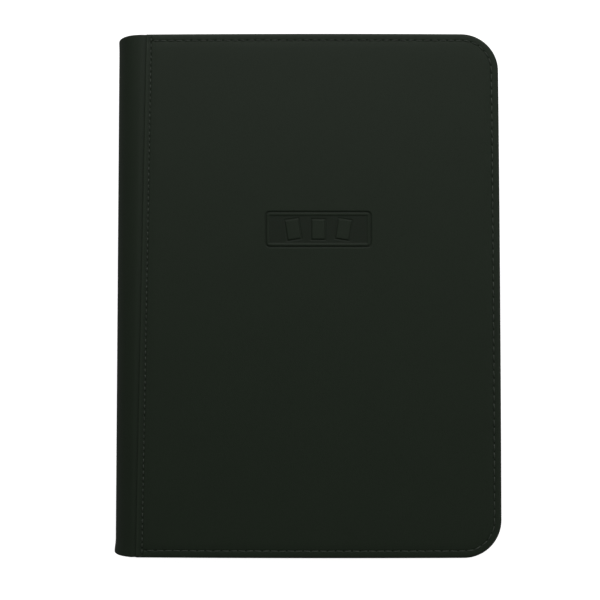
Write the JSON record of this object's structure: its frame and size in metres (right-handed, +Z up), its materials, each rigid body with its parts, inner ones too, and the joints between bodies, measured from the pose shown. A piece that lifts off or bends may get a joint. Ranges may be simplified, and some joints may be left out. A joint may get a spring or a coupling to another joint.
{
  "type": "trading card binder",
  "caption": "Zip-round binder with padded leather-look covers, a rounded spine and bound side-loading pocket leaves for trading cards.",
  "frame": {"origin": "middle of the back cover's outer face, half-way between the rounded spine and the opening edge", "axes": "lying shut on its back cover: +Z up out of the front cover, +Y towards the head, +X from the spine towards the opening edge"},
  "size_m": [0.255, 0.347, 0.04],
  "materials": {
    "cover_leather": "satin, fine grain",
    "spine_leather": "satin, fine grain",
    "padding_foam": "open foam",
    "cover_board": "grey board",
    "spine_stiffener": "grey board",
    "lining": "fine woven",
    "thread": "waxed thread",
    "zip_tape": "woven herringbone",
    "binding_tape": "woven",
    "zip_coil": "nylon coil",
    "zip_stop": "black finish",
    "zip_metal": "black finish",
    "page_sheet": "clear film over a black core"
  },
  "bodies": {
    "back_cover": {"back_skin": "cover_leather", "back_foam": "padding_foam", "back_board": "cover_board", "back_lining": "lining", "back_edge_thread": "thread", "back_seam_thread": "thread", "zip_tape_back": "zip_tape", "zip_coil_back": "zip_coil", "zip_end_stop": "zip_stop", "zip_top_stop_back": "zip_stop"},
    "spine": {"spine_skin": "spine_leather", "spine_board": "spine_stiffener", "spine_lining": "lining", "binding_tape": "binding_tape", "page_margins": "page_sheet"},
    "front_cover": {"front_skin": "cover_leather", "front_foam": "padding_foam", "front_board": "cover_board", "front_lining": "lining", "front_edge_thread": "thread", "front_seam_thread": "thread", "zip_tape_front": "zip_tape", "zip_coil_front": "zip_coil", "zip_top_stop_front": "zip_stop"},
    "slider": {"zip_slider": "zip_metal"},
    "pull": {"zip_pull": "zip_metal"},
    "leaf_01": {"leaf_01": "page_sheet"},
    "leaf_02": {"leaf_02": "page_sheet"},
    "leaf_03": {"leaf_03": "page_sheet"},
    "leaf_04": {"leaf_04": "page_sheet"},
    "leaf_05": {"leaf_05": "page_sheet"},
    "leaf_06": {"leaf_06": "page_sheet"},
    "leaf_07": {"leaf_07": "page_sheet"},
    "leaf_08": {"leaf_08": "page_sheet"},
    "leaf_09": {"leaf_09": "page_sheet"},
    "leaf_10": {"leaf_10": "page_sheet"},
    "leaf_11": {"leaf_11": "page_sheet"},
    "leaf_12": {"leaf_12": "page_sheet"},
    "leaf_13": {"leaf_13": "page_sheet"},
    "leaf_14": {"leaf_14": "page_sheet"},
    "leaf_15": {"leaf_15": "page_sheet"},
    "leaf_16": {"leaf_16": "page_sheet"},
    "leaf_17": {"leaf_17": "page_sheet"},
    "leaf_18": {"leaf_18": "page_sheet"},
    "leaf_19": {"leaf_19": "page_sheet"},
    "leaf_20": {"leaf_20": "page_sheet"}
  },
  "joints": [
    {"name": "spine_fold", "type": "hinge", "parent": "back_cover", "child": "spine", "pos_m": [-0.123, 0, 0.0055], "axis": [0, -1, 0], "range_deg": [0, 90], "deforming": ["spine_skin", "spine_lining"]},
    {"name": "cover_fold", "type": "hinge", "parent": "spine", "child": "front_cover", "pos_m": [-0.123, 0, 0.0345], "axis": [0, -1, 0], "range_deg": [0, 90]},
    {"name": "zip_run", "type": "slide", "parent": "back_cover", "child": "slider", "axis": [1, 0, 0], "range_m": [0, 0.174]},
    {"name": "pull_swing", "type": "hinge", "parent": "slider", "child": "pull", "pos_m": [-0.0825, -0.1725, 0.02], "axis": [0, 0, -1], "range_deg": [0, 165]},
    {"name": "leaf_01_bend", "type": "hinge", "parent": "spine", "child": "leaf_01", "pos_m": [-0.1135, 0, 0.00651], "axis": [0, -1, 0], "range_deg": [-92, 0]},
    {"name": "leaf_02_bend", "type": "hinge", "parent": "spine", "child": "leaf_02", "pos_m": [-0.11208, 0, 0.00793], "axis": [0, -1, 0], "range_deg": [-92, 0]},
    {"name": "leaf_03_bend", "type": "hinge", "parent": "spine", "child": "leaf_03", "pos_m": [-0.11066, 0, 0.00935], "axis": [0, -1, 0], "range_deg": [-92, 0]},
    {"name": "leaf_04_bend", "type": "hinge", "parent": "spine", "child": "leaf_04", "pos_m": [-0.10924, 0, 0.01077], "axis": [0, -1, 0], "range_deg": [-92, 0]},
    {"name": "leaf_05_bend", "type": "hinge", "parent": "spine", "child": "leaf_05", "pos_m": [-0.10782, 0, 0.01219], "axis": [0, -1, 0], "range_deg": [-92, 0]},
    {"name": "leaf_06_bend", "type": "hinge", "parent": "spine", "child": "leaf_06", "pos_m": [-0.1064, 0, 0.01361], "axis": [0, -1, 0], "range_deg": [-92, 0]},
    {"name": "leaf_07_bend", "type": "hinge", "parent": "spine", "child": "leaf_07", "pos_m": [-0.10498, 0, 0.01503], "axis": [0, -1, 0], "range_deg": [-92, 0]},
    {"name": "leaf_08_bend", "type": "hinge", "parent": "spine", "child": "leaf_08", "pos_m": [-0.10356, 0, 0.01645], "axis": [0, -1, 0], "range_deg": [-92, 0]},
    {"name": "leaf_09_bend", "type": "hinge", "parent": "spine", "child": "leaf_09", "pos_m": [-0.10214, 0, 0.01787], "axis": [0, -1, 0], "range_deg": [-92, 0]},
    {"name": "leaf_10_bend", "type": "hinge", "parent": "spine", "child": "leaf_10", "pos_m": [-0.10072, 0, 0.01929], "axis": [0, -1, 0], "range_deg": [-92, 0]},
    {"name": "leaf_11_bend", "type": "hinge", "parent": "spine", "child": "leaf_11", "pos_m": [-0.10072, 0, 0.02071], "axis": [0, -1, 0], "range_deg": [0, 92]},
    {"name": "leaf_12_bend", "type": "hinge", "parent": "spine", "child": "leaf_12", "pos_m": [-0.10214, 0, 0.02213], "axis": [0, -1, 0], "range_deg": [0, 92]},
    {"name": "leaf_13_bend", "type": "hinge", "parent": "spine", "child": "leaf_13", "pos_m": [-0.10356, 0, 0.02355], "axis": [0, -1, 0], "range_deg": [0, 92]},
    {"name": "leaf_14_bend", "type": "hinge", "parent": "spine", "child": "leaf_14", "pos_m": [-0.10498, 0, 0.02497], "axis": [0, -1, 0], "range_deg": [0, 92]},
    {"name": "leaf_15_bend", "type": "hinge", "parent": "spine", "child": "leaf_15", "pos_m": [-0.1064, 0, 0.02639], "axis": [0, -1, 0], "range_deg": [0, 92]},
    {"name": "leaf_16_bend", "type": "hinge", "parent": "spine", "child": "leaf_16", "pos_m": [-0.10782, 0, 0.02781], "axis": [0, -1, 0], "range_deg": [0, 92]},
    {"name": "leaf_17_bend", "type": "hinge", "parent": "spine", "child": "leaf_17", "pos_m": [-0.10924, 0, 0.02923], "axis": [0, -1, 0], "range_deg": [0, 92]},
    {"name": "leaf_18_bend", "type": "hinge", "parent": "spine", "child": "leaf_18", "pos_m": [-0.11066, 0, 0.03065], "axis": [0, -1, 0], "range_deg": [0, 92]},
    {"name": "leaf_19_bend", "type": "hinge", "parent": "spine", "child": "leaf_19", "pos_m": [-0.11208, 0, 0.03207], "axis": [0, -1, 0], "range_deg": [0, 92]},
    {"name": "leaf_20_bend", "type": "hinge", "parent": "spine", "child": "leaf_20", "pos_m": [-0.1135, 0, 0.03349], "axis": [0, -1, 0], "range_deg": [0, 92]}
  ],
  "couplings": [
    {"joint": "cover_fold", "follows": "spine_fold", "ratio": 1},
    {"joint": "leaf_01_bend", "follows": "spine_fold", "ratio": -1.02},
    {"joint": "leaf_02_bend", "follows": "spine_fold", "ratio": -1.02},
    {"joint": "leaf_03_bend", "follows": "spine_fold", "ratio": -1.02},
    {"joint": "leaf_04_bend", "follows": "spine_fold", "ratio": -1.02},
    {"joint": "leaf_05_bend", "follows": "spine_fold", "ratio": -1.02},
    {"joint": "leaf_06_bend", "follows": "spine_fold", "ratio": -1.02},
    {"joint": "leaf_07_bend", "follows": "spine_fold", "ratio": -1.02},
    {"joint": "leaf_08_bend", "follows": "spine_fold", "ratio": -1.02},
    {"joint": "leaf_09_bend", "follows": "spine_fold", "ratio": -1.02},
    {"joint": "leaf_10_bend", "follows": "spine_fold", "ratio": -1.02},
    {"joint": "leaf_11_bend", "follows": "spine_fold", "ratio": 1.02},
    {"joint": "leaf_12_bend", "follows": "spine_fold", "ratio": 1.02},
    {"joint": "leaf_13_bend", "follows": "spine_fold", "ratio": 1.02},
    {"joint": "leaf_14_bend", "follows": "spine_fold", "ratio": 1.02},
    {"joint": "leaf_15_bend", "follows": "spine_fold", "ratio": 1.02},
    {"joint": "leaf_16_bend", "follows": "spine_fold", "ratio": 1.02},
    {"joint": "leaf_17_bend", "follows": "spine_fold", "ratio": 1.02},
    {"joint": "leaf_18_bend", "follows": "spine_fold", "ratio": 1.02},
    {"joint": "leaf_19_bend", "follows": "spine_fold", "ratio": 1.02},
    {"joint": "leaf_20_bend", "follows": "spine_fold", "ratio": 1.02}
  ]
}
